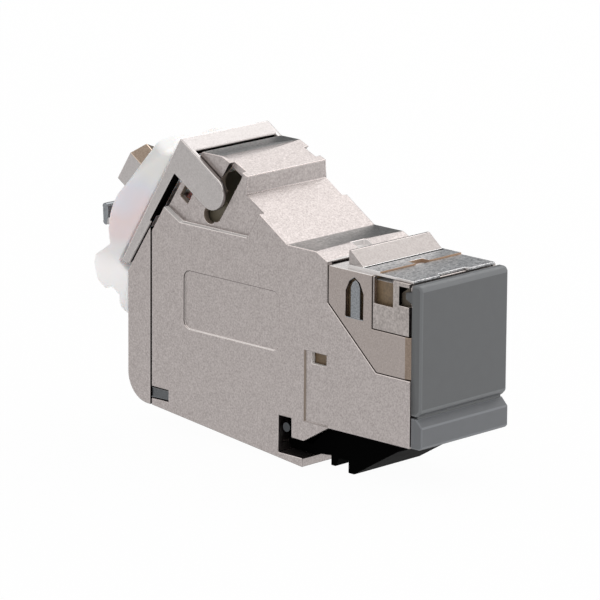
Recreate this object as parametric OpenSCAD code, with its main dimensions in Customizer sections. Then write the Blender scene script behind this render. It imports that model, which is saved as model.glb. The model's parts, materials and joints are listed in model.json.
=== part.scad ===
// Shielded ethernet socket module: die-cast snap-in RJ45 insert with a folding dust
// cover, a swinging rear bail that presses the wires home, and a sprung panel latch.
// X runs across the width, Y from the front edge of the casing to the rear,
// Z up from the lower edge of the front section.

/* [Casing] */
// Width over the side walls
body_w = 14.5; // [13.5:0.1:17]
// Thickness of the cast walls
wall = 0.8; // [0.6:0.05:1.0]
// Length of the cast housing
housing_len = 41.1; // [40:0.1:48]
// Clearance between fixed pieces that lie side by side
seam = 0.08; // [0.04:0.01:0.12]
// Running clearance beside moving pieces
running = 0.1; // [0.05:0.01:0.15]

/* [Front section] */
// Height of the front section
front_h = 18.9; // [18.5:0.1:22]
// Length of the front section
nose_len = 12.85; // [12.4:0.05:14]
// Height of the cast wall at the front edge
cheek_h = 7.8; // [6.5:0.1:9]
// Height of the slanted joint between cast wall and front shell
joint_rise = 6.75; // [5:0.05:8]
// Length of the level part of that joint
joint_len = 5.3; // [4:0.1:6.5]
// Height of the shield frame at the upper front corner
frame_h = 6.05; // [5.6:0.05:7]
// Length of the shield frame
frame_len = 5.9; // [5.5:0.1:7]
// Thickness of the sheet metal
sheet = 0.5; // [0.3:0.05:0.6]
// Width of the spring tongue window
tongue_window = 2.75; // [2.2:0.05:3.2]
// Height of the spring tongue window
tongue_h = 4.7; // [3.5:0.1:5]

/* [Plug port] */
// Width of the plug port
port_w = 11.9; // [11.7:0.05:12.2]
// Height of the plug port
port_h = 7; // [6.8:0.05:7.4]
// Height of the port floor
port_z = 7; // [6.4:0.1:7.6]
// Depth of the plug port
port_depth = 13; // [12:0.5:14]
// Spacing of the plug contacts
contact_pitch = 1.02; // [0.9:0.01:1.1]

/* [Roof] */
// Rise of the flat deck above the front section
deck_rise = 1.3; // [0.9:0.1:1.8]
// Length from the foot of the roof slope to the rear end
chamber_len = 21.9; // [20.5:0.1:23]
// Length of the short ramp before the deck
ramp_len = 1.8; // [1.4:0.1:2.4]
// Tilt of the roof and of the rear opening, degrees
tilt = 32.5; // [30:0.5:35]
// Horizontal length of the roof slope
roof_run = 7.1; // [6.6:0.1:7.6]
// Height of the step at the top of the roof slope
step_h = 2.1; // [1.6:0.1:2.4]
// Inset of the upper chamber from the side walls
ledge_w = 0.75; // [0.65:0.05:0.95]

/* [Keel] */
// Drop of the keel at its front lip
keel_drop = 5.45; // [5:0.05:6]
// Drop of the keel at its rear end
keel_rear_drop = 2.8; // [2.4:0.1:3.4]
// Thickness of the front lip
lip_t = 1.05; // [0.9:0.05:1.3]
// Distance of the lip face from the front edge
lip_y = 16.6; // [16:0.1:18]
// Depth of the rear cover
rear_depth = 3.75; // [3.4:0.05:4.6]
// Radius of its lower rear corner
rear_r = 3.4; // [2:0.1:3.4]

/* [Bail] */
// Radius of the round ends of the bail arms
arm_r = 2.1; // [1.8:0.05:2.2]
// Radius of the bail pivots
pivot_r = 0.75; // [0.6:0.05:0.85]
// Distance from the pivot to the inside of the bail frame
bail_reach = 5.6; // [5.4:0.1:6.2]
// Depth of the bail frame at its upper end
bail_t = 1.6; // [1.3:0.05:1.8]
// Length of the bail frame
bail_len = 18.8; // [18.4:0.1:20]

/* [Wire cap] */
// Height of the dome's sides over the bail frame
cap_h = 4.5; // [3.9:0.1:5]
// Distance of the sides' highest point from the bail pivot
cap_peak = 11.3; // [10.5:0.1:12]
// Wall of the cap
cap_wall = 0.9; // [0.7:0.05:1.1]
// Height of the swelling round the cable entry over the dome's sides
cap_crest = 3.7; // [3.3:0.1:4.3]
// Diameter of the cable entry
cable_d = 7.2; // [6:0.1:7.4]

/* [Cable clamp] */
// Width of the clamp's sleeve
clamp_w = 4.3; // [3.6:0.1:5]
// Length of the sleeve down the cap
clamp_len = 4.05; // [3.4:0.05:4.4]
// Thickness of the clamp's sheet
clamp_t = 0.5; // [0.4:0.05:0.7]
// Height of the sleeve over the dome's sides
clamp_rise = 4.3; // [3.6:0.1:5]

/* [Dust cover] */
// Thickness of the flap
flap_t = 1.45; // [1.2:0.05:1.7]
// Height of the folding groove
groove_z = 3.7; // [3.2:0.1:4.2]
// Depth of the folding groove
groove_depth = 0.65; // [0.5:0.05:0.7]
// How far the lower lip stands proud of the flap
lip_proud = 0.25; // [0.1:0.05:0.4]

/* [Panel latch] */
// Height of the latch pin below the front section
latch_pin_drop = 1.3; // [1.2:0.05:1.6]
// Radius of the latch pin
latch_pin_r = 0.55; // [0.4:0.05:0.6]
// Half of the latch's width
latch_hw = 5.5; // [5:0.05:5.8]
// Distance of the front rib from the front edge
front_rib_y = 11; // [10:0.1:11.5]
// Distance of the rear rib from the front edge
rear_rib_y = 13.7; // [13.2:0.1:14.4]
// Depth of the front rib below the front section
rib_drop = 5.35; // [4.9:0.05:5.6]

/* [Hidden] */
$fn = 48;

hw = body_w / 2;
inner_hw = hw - wall;
chamber_hw = hw - ledge_w;

// Directions along the tilted rear opening, as (Y, Z): outward and down the frame
out = [cos(tilt), sin(tilt)];
down = [sin(tilt), -cos(tilt)];

// Roof line, worked from the front section upwards
deck_z = front_h + deck_rise;
ledge_z = deck_z - 0.3;
deck_y0 = nose_len + ramp_len;
deck_y1 = housing_len - chamber_len;
step_y = deck_y1 + roof_run;
step_z = deck_z + roof_run * tan(tilt);
plateau_z = step_z + step_h;
plateau_run = 4.15;
crown_z = plateau_z + 1.75;
wing_y = step_y - 0.65;

// Rear opening and bail pivot
pivot_inset = 9.6;
pivot_rise = 4;
pivot = [housing_len - pivot_inset, deck_z + pivot_rise];
mouth_gap = 0.75;
mouth = bail_reach - mouth_gap;
strip_inner = bail_reach - 0.7;
crown_reach = strip_inner - 0.8;

// Panel joint line between cast wall and front shell
joint_top = cheek_h + joint_rise;
frame_z = front_h - frame_h;

// Notch for the latch
notch_y0 = lip_y + 1.75;
notch_y1 = lip_y + 3.8;
tab_drop = 2.3;
tab_y0 = lip_y - 0.15;
tab_ramp_y = nose_len - 0.35;
lip_top = lip_t - keel_drop;
latch_pin_y = (notch_y0 + notch_y1) / 2;
hook_y = housing_len - 2.8;
hook_z = keel_rear_drop * -0.7;
hook_h = 1.4;

// Dust cover planes
flap_back = -running;
flap_front = flap_back - flap_t;
lip_front = flap_front - lip_proud;
groove_bottom = flap_front + groove_depth;
fold_gap = 0.1;

function keel(y) = let (k = (keel_drop - keel_rear_drop) / (housing_len - lip_y))
  -keel_drop + (y - lip_y) * k;
// A point given by its distances out of and down the tilted frame, from the pivot
function tilted(n, u) = pivot + n * out + u * down;
// Where the tilted plane at distance n meets height z, or depth y
function at_z(n, z) = [pivot[0] + (n - (z - pivot[1]) * sin(tilt)) / cos(tilt), z];
function at_y(n, y) = [y, pivot[1] + (n - (y - pivot[0]) * cos(tilt)) / sin(tilt)];
function arc(c, r, a0, a1, n = 10) =
  [for (i = [0:n]) c + r * [cos(a0 + (a1 - a0) * i / n), sin(a0 + (a1 - a0) * i / n)]];
function roof(y) = deck_z + (y - deck_y1) * tan(tilt);

// A side profile in (Y, Z), drawn from one X to another
module slab(x0, x1, pts) {
  rotate([90, 0, 90]) translate([0, 0, x0]) linear_extrude(x1 - x0) polygon(pts);
}
// The same profile on both sides of the middle
module pair_slab(x0, x1, pts) {
  slab(x0, x1, pts);
  slab(-x1, -x0, pts);
}
module block(x0, x1, y0, y1, z0, z1) {
  translate([x0, y0, z0]) cube([x1 - x0, y1 - y0, z1 - z0]);
}
module both_sides() {
  children();
  mirror([1, 0, 0]) children();
}
// A cross pin at a (Y, Z) point
module cross_pin(p, r, x0, x1) {
  translate([x0, p[0], p[1]]) rotate([0, 90, 0]) cylinder(r = r, h = x1 - x0);
}
// A box in the tilted frame
module tilted_box(x0, x1, n0, n1, u0, u1) {
  slab(x0, x1, [tilted(n0, u0), tilted(n1, u0), tilted(n1, u1), tilted(n0, u1)]);
}
// A slot with round ends that runs down the tilted frame
module tilted_slot(x0, x1, n, r, u0, u1) {
  tilted_box(x0, x1, n - r, n + r, u0, u1);
  for (u = [u0, u1]) cross_pin(tilted(n, u), r, x0, x1);
}
// A plate in the side plane with rounded corners
module round_plate(x0, x1, y0, y1, z0, z1, r) {
  block(x0, x1, y0 + r, y1 - r, z0, z1);
  block(x0, x1, y0, y1, z0 + r, z1 - r);
  for (y = [y0 + r, y1 - r]) for (z = [z0 + r, z1 - r]) cross_pin([y, z], r, x0, x1);
}

// Cast housing
wing_k = (roof(wing_y) - ledge_z) / (cos(tilt) + tan(tilt) * sin(tilt));
wing_top = [wing_y - wing_k * sin(tilt), ledge_z + wing_k * cos(tilt)];
peak = at_z(mouth, ledge_z + 1.4);
valley_y = peak[0] - 2.6;
housing_outline = [
  [housing_len, keel(housing_len)], at_y(mouth, housing_len), peak, [valley_y, ledge_z],
  [wing_y, ledge_z], wing_top, [deck_y1, deck_z], [deck_y0, deck_z],
  [nose_len, front_h + 0.4], [nose_len, joint_top], [joint_len, cheek_h], [0, cheek_h], [0, 0],
  [tab_ramp_y, 0], [tab_y0, -tab_drop], [notch_y0, -tab_drop], [notch_y0, 0], [notch_y1, 0],
  [notch_y1, lip_top], [lip_y, lip_top], [lip_y, -keel_drop]];
chamber_outline = [
  [deck_y1, deck_z], [step_y, step_z], [step_y, plateau_z], [step_y + plateau_run, crown_z],
  at_z(crown_reach, crown_z), tilted(crown_reach, -arm_r + 1.2), tilted(mouth, -arm_r + 1.2),
  at_y(mouth, housing_len), [housing_len, ledge_z - 3], [deck_y1, ledge_z - 3]];
roof_wall = wall / cos(tilt);
hollow_top = ledge_z - wall;
floor_y = notch_y1 + wall;
hollow_outline = [
  [-1, -tab_drop - 1], [notch_y0 - wall, -tab_drop - 1], [notch_y0 - wall, wall], [floor_y, wall],
  [floor_y, keel(floor_y) + wall], [housing_len + 1, keel(housing_len + 1) + wall],
  [housing_len + 1, hollow_top], [-1, hollow_top]];
chamber_hollow = [
  [deck_y1 + 2, hollow_top - 1], [deck_y1 + 2, roof(deck_y1 + 2) - roof_wall],
  [step_y + wall, roof(step_y + wall) - roof_wall], [step_y + wall, plateau_z - wall],
  [step_y + plateau_run, crown_z - wall], at_z(crown_reach - wall, crown_z - wall),
  tilted(crown_reach - wall, -arm_r + 1.2 + wall), tilted(mouth + 1, -arm_r + 1.2 + wall),
  [housing_len + 4, hollow_top - 1]];
panel_y0 = nose_len - 0.2;
panel_y1 = lip_y - 0.3;
panel_z1 = cheek_h + 0.6;
panel_depth = 0.18;
recess_y0 = notch_y1;
recess_y1 = housing_len - 5.3;
recess_z0 = cheek_h - 0.35;
recess_z1 = joint_top - 0.15;
recess_depth = 0.2;
ramp_notch_hw = 1.15;
lug_x0 = 3.2;
lug_x1 = 4.2;
lug_r = 0.95;
eye_r = 1;
eye_gap = 0.35;
slot_n = -pivot_r - 1;
slot_r = 0.6;
slot_u0 = -arm_r - 1;
slot_u1 = arm_r + 0.3;
core_n = 2.6;
core_w = 1.5;
core_u = arm_r + 0.2;
core_len = 1.9;
well_y0 = latch_pin_y - eye_r - eye_gap;
well_y1 = latch_pin_y + eye_r + eye_gap;

module main_housing() {
  color("#b4aca8") {
    difference() {
      union() {
        slab(-hw, hw, housing_outline);
        slab(-chamber_hw, chamber_hw, chamber_outline);
      }
      slab(-inner_hw, inner_hw, hollow_outline);
      slab(wall - chamber_hw, chamber_hw - wall, chamber_hollow);
      // notch in the upper edge of the ramp
      block(-ramp_notch_hw, ramp_notch_hw, nose_len + 0.3, deck_y0 + 0.5, deck_z - 0.7, deck_z + 1);
      // well for the latch's eyes
      block(-inner_hw, inner_hw, well_y0, well_y1, -tab_drop - 1, 0);
      both_sides() {
        // shallow label recess and the stepped panel with its snap window
        round_plate(hw - recess_depth, hw + 1, recess_y0, recess_y1, recess_z0, recess_z1, 1);
        block(hw - panel_depth, hw + 1, panel_y0, panel_y1, 0.1, panel_z1);
        block(inner_hw - 1, hw + 1, panel_y0 + 0.45, panel_y1 - 0.95, panel_z1 - 1.4, panel_z1 - 0.02);
        // window for the rear cover's hook
        block(inner_hw - 1, hw + 1, hook_y, housing_len + 1, hook_z, hook_z + hook_h);
        // pivot bore, key-shaped arm slot and square core hole beside the bail arm
        cross_pin(pivot, pivot_r + running / 2, chamber_hw - wall - 1, chamber_hw + 1);
        translate([chamber_hw - wall, 0, 0]) {
          tilted_slot(0, wall + 1, slot_n, slot_r, slot_u0, slot_u1);
          tilted_slot(0, wall + 1, slot_n + slot_r, 2 * slot_r, slot_u0 - 0.9, slot_u0 + 0.9);
          cross_pin(tilted(slot_n + 0.85, slot_u1 + 0.45), 1, 0, wall + 1);
          tilted_box(0, wall + 1, core_n, core_n + core_w, core_u, core_u + core_len);
        }
      }
    }
    // pin lugs under the floor over the latch
    both_sides() difference() {
      block(lug_x0, lug_x1, latch_pin_y - lug_r, well_y1, -latch_pin_drop - lug_r, 0);
      cross_pin([latch_pin_y, -latch_pin_drop], latch_pin_r + 0.02, lug_x0 - 1, lug_x1 + 1);
    }
  }
}

// Front shell
shell_hw = hw - seam;
shell_in = shell_hw - sheet;
shell_y0 = 0.9;
shell_z0 = cheek_h + seam;
roof_y0 = frame_len + 0.15;
shell_top = frame_z - 0.12;
shell_side = [
  [shell_y0, shell_z0], [joint_len - seam, shell_z0], [nose_len - seam, joint_top + seam],
  [nose_len - seam, front_h], [roof_y0, front_h], [roof_y0, shell_top], [shell_y0, shell_top]];
edge_y0 = 0.1;
edge_in = 0.2;
tongue_y = 8.75;
tongue_z0 = front_h - 5.4;
tongue_gap = 0.65;

// An arch with a pointed head, as a side outline
function arch(y, z0, w, h) = [
  [y - w / 2, z0], [y + w / 2, z0], [y + w / 2, z0 + h - w * 0.62], [y + w * 0.3, z0 + h - w * 0.2],
  [y, z0 + h], [y - w * 0.3, z0 + h - w * 0.2], [y - w / 2, z0 + h - w * 0.62]];

module front_shell() {
  color("#b4aca8") {
    difference() {
      union() {
        pair_slab(shell_in, shell_hw, shell_side);
        block(-shell_hw, shell_hw, roof_y0, nose_len - seam, front_h - sheet, front_h);
      }
      both_sides() slab(shell_in - 1, shell_hw + 1, arch(tongue_y, tongue_z0, tongue_window, tongue_h));
    }
    // spring tongue that stands in each window
    both_sides() slab(shell_in, shell_hw - sheet * 0.3,
      arch(tongue_y, tongue_z0 - 0.01, tongue_window - 2 * tongue_gap, tongue_h - 0.3));
    // front edges turned inwards
    both_sides() translate([0, 0, shell_z0]) linear_extrude(shell_top - shell_z0) polygon([
      [shell_hw, shell_y0], [shell_in, shell_y0],
      [shell_in - edge_in, edge_y0], [shell_hw - edge_in, edge_y0]]);
  }
}

// Sheet shield frame at the upper front corners
pocket_y = 2.85;
rib_y = 1.92;
front_edge = 0.4;
notch_rise = 3.35;
hook_gap = 0.3;

pocket_z = frame_z + 2.95;
pocket_wall = 0.2;
hook_head = 0.5;
port_gap = 0.3;

module shield_frame() {
  color("#b9b3b0") {
    both_sides() difference() {
      block(shell_in, shell_hw, front_edge, frame_len, frame_z, front_h);
      block(shell_in - 1, shell_hw + 1, pocket_y, frame_len - pocket_wall, pocket_z, front_h + 1);
      block(shell_in - 1, shell_hw + 1, front_edge - 1, rib_y, frame_z + notch_rise, front_h - hook_head);
    }
    // front wall with the plug opening cut out
    translate([0, front_edge, 0]) difference() {
      union() {
        block(-shell_in, shell_in, 0, sheet, frame_z, frame_z + notch_rise);
        block(hook_gap - shell_in, shell_in - hook_gap, 0, sheet, frame_z, front_h);
      }
      block(-port_w / 2 - port_gap, port_w / 2 + port_gap, -1, 1, frame_z - 1, port_z + port_h + port_gap);
    }
  }
}

// Sprung top plate with a raised strip and the panel wedge
plate_hw = hw - 0.55;
plate_y0 = 0.1;
plate_step = 0.2;
plate_z = front_h + sheet;
strip_y0 = nose_len - 7.65;
slit_y1 = strip_y0 + 1.2;
slit_x0 = -0.9;
slit_x1 = 1.4;
finger_hw = 2.4;
finger_y = plate_y0 + 0.6;
wedge_y0 = nose_len - 4.9;
wedge_y1 = nose_len - 2.6;
wedge_h = 1.6;
wedge_flat = 0.3;
wedge_hw = plate_hw - 0.2;

module panel_spring() {
  color("#9fa2a6") difference() {
    union() {
      block(-plate_hw, plate_hw, plate_y0, wedge_y1, front_h, plate_z - plate_step);
      block(-plate_hw, plate_hw, strip_y0, wedge_y1, front_h, plate_z);
      slab(-wedge_hw, wedge_hw, [
        [wedge_y0, plate_z - 0.01], [wedge_y1 - wedge_flat, plate_z + wedge_h],
        [wedge_y1, plate_z + wedge_h], [wedge_y1, plate_z - 0.01]]);
    }
    // slit before the raised strip and the gap between the front fingers
    block(slit_x0, slit_x1, strip_y0 - 0.01, slit_y1, front_h - 1, plate_z + 1);
    block(-finger_hw, finger_hw, plate_y0 - 1, finger_y, front_h - 1, plate_z + 1);
  }
}

// Rear cover
rear_seam = 0.2;
rear_y0 = housing_len + rear_seam;
rear_y1 = rear_y0 + rear_depth;
rear_z0 = keel(housing_len);
lid_gap = 0.35;
hook_sunk = 0.25;
hook_play = 0.15;
rear_top = at_y(bail_reach - lid_gap, rear_y1);
rear_outline = concat(
  arc([rear_y1 - rear_r, rear_z0 + rear_r], rear_r, -90, 0),
  [rear_top, at_y(bail_reach - lid_gap, rear_y0), [rear_y0, rear_z0]]);
rear_inner_r = rear_r - wall;
rear_hollow = concat(
  arc([rear_y1 - rear_r, rear_z0 + rear_r], rear_inner_r, -90, 0),
  [[rear_y1 - wall, rear_top[1] + 8], [rear_y0 - 1, rear_top[1] + 8], [rear_y0 - 1, rear_z0 + wall]]);

module rear_cover() {
  color("#b4aca8") {
    difference() {
      slab(-hw, hw, rear_outline);
      slab(-inner_hw, inner_hw, rear_hollow);
    }
    // hooks that reach into the windows of the housing
    both_sides() block(inner_hw, hw - hook_sunk, hook_y + hook_play, rear_y0 + 0.01,
      hook_z + seam, hook_z + hook_h - hook_play);
  }
}

// Bail, in the tilted frame
bail_end = bail_len - arm_r;
bail_out = bail_reach + bail_t;
arm_x0 = chamber_hw + running;
bar_t = 0.8;
bar_u = bail_end - 1.6;
bail_lip = 0.35;
bulge_start = 0.9;
cap_over = 0.75;
crest_u = 3;
sleeve_point = 1;
crest_run = 6;
arm_outline = concat(
  [tilted(bail_out, -arm_r), tilted(bail_out - 0.45, bail_end - 0.35), tilted(bail_out - 0.7, bail_end),
   tilted(bail_reach + 0.35, bail_end - 0.15), tilted(bail_reach + 0.1, bail_end - 0.5),
   tilted(bail_reach, arm_r)],
  [for (a = [0:12:180]) pivot + arm_r * (cos(a) * down - sin(a) * out)]);

module bail() {
  color("#b4aca8") {
    both_sides() {
      slab(arm_x0, hw, arm_outline);
      cross_pin(pivot, pivot_r, chamber_hw - wall, arm_x0 + 0.01);
    }
    // top bar and foot bar between the arms
    tilted_box(-arm_x0, arm_x0, strip_inner, bail_out, -arm_r, bar_t - arm_r);
    tilted_box(-arm_x0, arm_x0, bail_reach + 0.25, bail_out - 0.5, bar_u, bail_end - 0.4);
  }
}

// Wire cap: a dome over the bail frame, drawn as (down the bail, out from the pivot)
cap_face = bail_out + seam;
cap_hw = hw - bail_lip;
dome_u0 = bulge_start - arm_r;
dome_u1 = bail_end + cap_over;
cap_top = cap_face + cap_h + cap_crest + 1;
// Height of the dome's sides u down the bail: a slow rise to the peak, then a round fall
function side(u) = cap_h * (u < cap_peak
  ? 1 - pow((cap_peak - u) / (cap_peak - dome_u0), 1.5)
  : sqrt(max(0, 1 - pow((u - cap_peak) / (dome_u1 - cap_peak), 2))));
// Height of the swelling along the dome's middle
function swelling(u) = cap_crest * (u < crest_u
  ? (u - dome_u0) / (crest_u - dome_u0)
  : pow(max(0, 1 - pow((u - crest_u) / crest_run, 2)), 2));
// Height of the dome at a distance x from its middle
function crest(u, x = 0) = side(u) + swelling(u) * (1 - pow(x / cap_hw, 2));
dome_steps = 20;
dome_edge = 0.05;
swell_edge = 0.2;
// Outline of the dome at a distance x from its middle, from u0 to u1 down the bail, lowered by a drop
function dome_line(x, u0, u1, drop) = [for (i = [0:dome_steps])
  let (u = u0 + (u1 - u0) * sin(90 * i / dome_steps)) [u, cap_face + max(dome_edge, crest(u, x) - drop)]];
// Distance out from the pivot at which depth y is reached, u down the bail
function out_at(y, u) = (y - pivot[0] - u * sin(tilt)) / cos(tilt);

// A flat outline in (down, out) from the pivot, drawn from one X to another
module bail_slab(x0, x1) {
  translate([0, pivot[0], pivot[1]]) rotate([tilt - 90, 0, 0]) rotate([90, 0, 90])
    translate([0, 0, x0]) linear_extrude(x1 - x0) children();
}
// A flat outline in (X, down the bail), drawn from one distance out to another
module bail_plan(n0, n1) {
  translate([0, pivot[0], pivot[1]]) rotate([tilt - 90, 0, 0])
    translate([0, 0, n0]) linear_extrude(n1 - n0) children();
}
slice = 0.02;
dome_cuts = [0, 0.3, 0.55, 0.74, 0.87, 0.95, 1];
// A smooth shell over slices at shares of a half width
module dome_shell(cuts, half, u0, u1, inset) {
  foot = cap_face - (inset > 0 ? 1 : 0);
  hull() for (k = concat(cuts, -cuts))
    bail_slab(k * half - slice, k * half + slice)
      polygon(concat([[u0, foot]], dome_line(k * half, u0, u1, 1.1 * inset), [[u1, foot]]));
}
// The dome, level across, and inside its edges the swelling round the cable entry
module dome(inset) {
  half = cap_hw - inset - slice;
  u0 = dome_u0 + 2 * inset;
  dome_shell([1], half, u0, dome_u1 - inset, inset);
  dome_shell(dome_cuts, half - swell_edge, u0 + swell_edge, crest_u + crest_run - swell_edge, inset);
}
cable_r = cable_d / 2;
cable_u = dome_u0 + cable_r + 1.1;
module cable_axis(r, n0, n1) {
  p = tilted(n0, cable_u);
  translate([0, p[0], p[1]]) rotate([tilt - 90, 0, 0]) cylinder(r = r, h = n1 - n0);
}
// Rim that drops into the bail frame
rim_hw = arm_x0 - 0.15;
rim_t = 1.2;
rim_n0 = bail_reach + 0.3;
rim_u0 = bar_t - arm_r + 0.2;
rim_u1 = bar_u - 0.2;
// Grip tab that hangs behind the rear cover
tab_gap = 0.35;
tab_u = dome_u1 + 0.1;
tab_end = dome_u1 + 4.45;
tab_foot = dome_u1 - 1.85;
tab_lip = tab_end - 0.1;
tab_base = cap_face + 0.2;
tab_hw = cap_hw - 0.1;
tab_outline = [
  [tab_foot, tab_base], [tab_foot, cap_face + 1.6], [tab_foot + 1.1, cap_face + 2.3],
  [tab_end - 3.5, cap_face + 3], [tab_end - 2.4, cap_face + 3.5], [tab_end - 1.4, cap_face + 3.2],
  [tab_end, cap_face + 1.6], [tab_end, cap_face], [tab_end - 0.9, cap_face - 0.6],
  [tab_end - 0.95, cap_face - 2.2], [tab_end - 0.15, cap_face - 2.7], [tab_end + 0.1, cap_face - 3.5],
  [tab_lip, out_at(rear_y1 + tab_gap, tab_lip)],
  [tab_u, out_at(rear_y1 + tab_gap, tab_u)], [tab_u, tab_base]];

module wire_cap() {
  color("#e9e6ea") difference() {
    union() {
      difference() {
        dome(0);
        dome(cap_wall);
      }
      intersection() {
        cable_axis(cable_r + cap_wall, cap_face, cap_top);
        dome(0);
      }
      difference() {
        tilted_box(-rim_hw, rim_hw, rim_n0, cap_face + cap_wall, rim_u0, rim_u1);
        tilted_box(rim_t - rim_hw, rim_hw - rim_t, rim_n0 - 1, cap_face + cap_wall + 1,
          rim_u0 + rim_t, rim_u1 - rim_t);
      }
      bail_slab(-tab_hw, tab_hw) polygon(tab_outline);
    }
    cable_axis(cable_r, bail_reach - 3, cap_top + 1);
    // slot for the clamp's sleeve
    bail_plan(cap_face + 1, cap_top) polygon(sleeve_plan(-seam));
  }
}

// Cable clamp: a bent sleeve that stands through the cap, with a strip and a turned-up tongue below it
sleeve_u0 = cable_u + cable_r + cap_wall + sleeve_point;
sleeve_u1 = sleeve_u0 + clamp_len;
sleeve_hw = clamp_w / 2;
// Outline of the sleeve as (X, down the bail), pointed at its upper end and moved inwards by an inset
function sleeve_plan(inset) = let (
    hw_in = sleeve_hw - inset,
    lean = sleeve_point / sleeve_hw,
    apex = sleeve_u0 - sleeve_point + inset * sqrt(1 + lean * lean))
  [[-hw_in, sleeve_u1 - inset], [-hw_in, apex + lean * hw_in], [0, apex],
   [hw_in, apex + lean * hw_in], [hw_in, sleeve_u1 - inset]];
sleeve_n0 = cap_face + 1.6;
sleeve_n1 = cap_face + cap_h + clamp_rise;
strip_u1 = dome_u1 - 1.5;
strip_lift = 0.1;
strip_t = clamp_t * 1.6;
// The strip's end is bent outwards, then turned up into a round-ended tongue
tongue_t = clamp_t * 1.8;
tongue_foot = [strip_u1, cap_face + crest(strip_u1) + strip_lift + 0.65 * strip_t];
tongue_bend = [dome_u1 + 1.35, sleeve_n1 - 1.3];
tongue_tip = [dome_u1 - 0.05, sleeve_n1 - 0.3];
// Points half a thickness to one side of a line from a to b
function beside(a, b, w) = let (d = (b - a) / norm(b - a)) [d[1], -d[0]] * w / 2;
strip_u0 = sleeve_u1 - clamp_t;
strip_steps = 6;
function strip_line(lift) = [for (i = [0:strip_steps])
  let (u = strip_u0 + (strip_u1 - strip_u0) * i / strip_steps) [u, cap_face + crest(u) + lift]];

module cable_clamp() {
  color("#a5a29f") {
    bail_plan(sleeve_n0, sleeve_n1) difference() {
      polygon(sleeve_plan(0));
      polygon(sleeve_plan(clamp_t));
    }
    bail_slab(-sleeve_hw, sleeve_hw) {
      polygon(concat(strip_line(strip_lift + strip_t),
        [for (i = [strip_steps:-1:0]) strip_line(strip_lift)[i]]));
      bent_strip(tongue_foot, tongue_bend, strip_t);
      bent_strip(tongue_bend, tongue_tip, tongue_t);
    }
  }
}
// A flat strip of thickness t from a to b, with round ends
module bent_strip(a, b, t) {
  polygon([a + beside(a, b, t), b + beside(a, b, t), b - beside(a, b, t), a - beside(a, b, t)]);
  for (p = [a, b]) translate(p) circle(t / 2);
}

// Dust cover
flap_hw = hw - 0.05;
base_z0 = 0.1;
base_top = groove_z - fold_gap;
flap_z0 = groove_z + fold_gap;
prong_x0 = 3.4;
prong_len = 3.2;
prong_z0 = 2.4;
module cover_base() {
  color("#878c8e") {
    slab(-flap_hw, flap_hw, [
      [flap_back, base_z0], [lip_front + 0.35, base_z0], [lip_front, base_z0 + 0.3],
      [lip_front, base_top - groove_depth - lip_proud], [groove_bottom, base_top], [flap_back, base_top]]);
    // prongs that hold the cover in the casing
    both_sides() block(prong_x0, inner_hw - 0.2, flap_back - 0.01, prong_len, prong_z0, groove_z + fold_gap);
  }
}

snap_y = rib_y - 0.99;
module cover_flap() {
  color("#6c7173") {
    slab(-flap_hw, flap_hw, [
      [flap_back, flap_z0], [groove_bottom, flap_z0], [flap_front, flap_z0 + groove_depth],
      [flap_front, front_h - 0.4], [flap_front + 0.4, front_h], [flap_back, front_h]]);
    // hooks that snap into the pockets beside the port
    both_sides() slab(shell_in - 0.1, shell_hw - 0.05, [
      [flap_back - 0.01, front_h - 0.9], [snap_y, front_h - 1.05], [snap_y, front_h - 1.75],
      [flap_back - 0.01, front_h - 2.3]]);
  }
}

// Panel latch
eye = [latch_pin_y, -latch_pin_drop];
arm_top = -0.35;
arm_z = lip_top + 0.3;
arm_t = 1.1;
pin_hw = hw - 0.3;
latch_y0 = 3.5;
latch_front_z = -1.4;
rib_step = 1.4;
rear_rib_z = 0.4 - rib_drop;
eye_y1 = latch_pin_y + eye_r - 0.2;
latch_outline = [
  [eye_y1, arm_z], [eye_y1, arm_z + arm_t], [lip_y, arm_z + arm_t],
  [tab_ramp_y + 1.5, arm_top], [latch_y0, arm_top], [latch_y0, latch_front_z],
  [front_rib_y - 0.9, -rib_drop], [front_rib_y, -rib_drop], [front_rib_y, rib_step - rib_drop],
  [rear_rib_y - 1.2, rib_step - rib_drop], [rear_rib_y - 0.7, rear_rib_z], [rear_rib_y, rear_rib_z],
  [rear_rib_y, arm_z + 0.3], [lip_y, arm_z]];

module panel_latch() {
  color("#18181a") difference() {
    union() {
      // eyes on the pin, outside the lugs
      pair_slab(lug_x1 + running, latch_hw, concat(
        [for (a = [0:15:180]) eye + eye_r * [cos(a), sin(a)]],
        [[latch_pin_y - eye_r + 0.3, arm_z], [eye_y1, arm_z]]));
      slab(-latch_hw, latch_hw, latch_outline);
    }
    cross_pin(eye, latch_pin_r + running / 2, -hw, hw);
  }
}

module latch_pin() {
  color("#a9adb3") cross_pin(eye, latch_pin_r, -pin_hw, pin_hw);
}

// Contact carrier with the plug port
carrier_hw = inner_hw - seam;
board_n = -4.7;
board_t = 1.2;
carrier_z0 = groove_z + 0.2;
carrier_top = front_h - sheet - seam;
carrier_outline = [
  [front_edge + sheet + seam, carrier_z0], [lip_y, carrier_z0], [lip_y, port_z + 0.4],
  at_z(board_n, port_z + 0.4), at_z(board_n, carrier_top), [front_edge + sheet + seam, carrier_top]];
port_top = port_z + port_h;
contact_w = 0.45;
contact_t = 0.35;
groove_w = 0.6;
groove_h = 0.5;
contact_y0 = 3;
contact_y1 = port_depth;
key_hw = 3.15;
key_depth = 1.6;
lever_hw = 1.65;
lever_depth = 2.5;

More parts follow.
